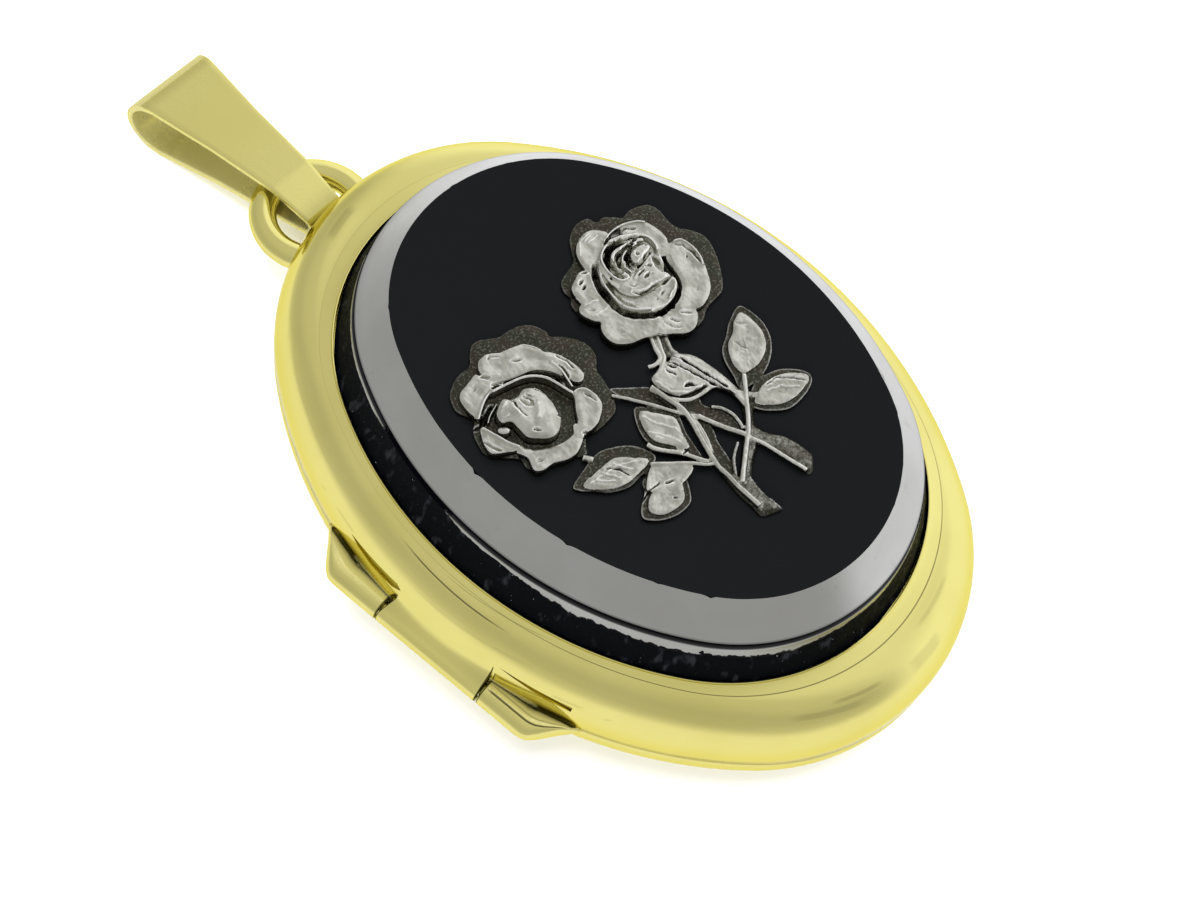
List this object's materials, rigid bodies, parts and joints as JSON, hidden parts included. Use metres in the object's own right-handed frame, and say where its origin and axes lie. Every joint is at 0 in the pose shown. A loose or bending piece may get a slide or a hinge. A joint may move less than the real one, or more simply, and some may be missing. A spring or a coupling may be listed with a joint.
{
  "type": "flower locket",
  "caption": "Oval hinged locket: a gold case with a black bevelled stone in its lid, a silver band, a spray of roses, and a folded bail on a loop.",
  "frame": {"origin": "centre of the flat back, on the surface that the locket lies on", "axes": "+Z out of the face, +Y towards the bail, +X to the right when facing the locket, with the hinge at -X"},
  "size_m": [0.0259, 0.0455, 0.0118],
  "materials": {
    "gold": "polished rolled gold, pale greenish yellow",
    "satin_gold": "softly polished rolled gold, slightly satin",
    "black_stone": "black onyx, a fine matte polish on top and rough below the bevel",
    "silver_band": "bright metal leaf on the bevel, with chipped edges",
    "oxidised_silver": "darkened cast silver, worn bright on its high places"
  },
  "bodies": {
    "case": {"back_case": "gold", "hinge_pin": "gold"},
    "lid": {"lid_frame": "gold", "stone_tablet": "black_stone", "bevel_band": "silver_band", "rose_spray": "oxidised_silver"},
    "bail": {"bail": "satin_gold"}
  },
  "joints": [
    {"name": "lid_hinge", "type": "hinge", "parent": "case", "child": "lid", "pos_m": [-0.01265, 0, 0.003], "axis": [0, -1, 0], "range_deg": [0, 130]},
    {"name": "bail_swing", "type": "hinge", "parent": "case", "child": "bail", "pos_m": [0, 0.0205, 0.00235], "axis": [1, 0, 0], "range_deg": [0, 20]}
  ]
}
